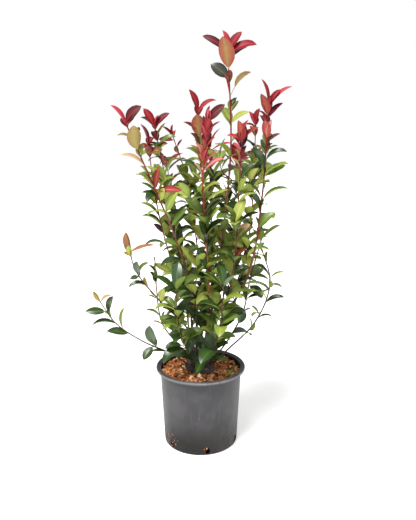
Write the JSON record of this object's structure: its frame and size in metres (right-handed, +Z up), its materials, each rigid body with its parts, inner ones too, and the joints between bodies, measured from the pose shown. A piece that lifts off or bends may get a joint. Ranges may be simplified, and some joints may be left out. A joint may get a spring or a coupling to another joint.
{
  "type": "potted photinia",
  "caption": "Photinia shrub in a round plastic nursery pot: upright stems from one root crown, green leaves and red young tips.",
  "frame": {"origin": "centre of the pot's flat underside", "axes": "+Z up along the plant; -Y towards the side that the picture shows; +X to the right as seen from there"},
  "size_m": [0.6158, 0.4398, 1.2391],
  "materials": {
    "pot_plastic": "satin charcoal grey",
    "mulch": "loose bark chips, matt",
    "bark": "smooth young bark, matt",
    "leaf_green": "glossy leaf"
  },
  "bodies": {
    "root": {"back_bough": "bark", "back_left_bough": "bark", "back_left_mass": "leaf_green", "back_mass": "leaf_green", "back_right_bough": "bark", "back_right_mass": "leaf_green", "centre_bough": "bark", "centre_mass": "leaf_green", "foot_sprig_mass": "leaf_green", "front_left_bough": "bark", "front_left_mass": "leaf_green", "front_right_bough": "bark", "front_right_mass": "leaf_green", "inner_bough": "bark", "inner_mass": "leaf_green", "leader_bough": "bark", "leader_mass": "leaf_green", "left_bough": "bark", "left_mass": "leaf_green", "left_second_bough": "bark", "left_second_mass": "leaf_green", "left_third_bough": "bark", "left_third_mass": "leaf_green", "low_left_bough": "bark", "low_left_mass": "leaf_green", "low_rear_left_bough": "bark", "low_rear_left_mass": "leaf_green", "low_right_bough": "bark", "low_right_mass": "leaf_green", "outer_left_bough": "bark", "outer_left_mass": "leaf_green", "outer_right_bough": "bark", "outer_right_mass": "leaf_green", "pot": "pot_plastic", "rear_bough": "bark", "rear_mass": "leaf_green", "right_bough": "bark", "right_mass": "leaf_green", "right_second_bough": "bark", "right_second_mass": "leaf_green", "right_third_bough": "bark", "right_third_mass": "leaf_green", "root_crown": "bark", "soil": "mulch"}
  },
  "joints": []
}
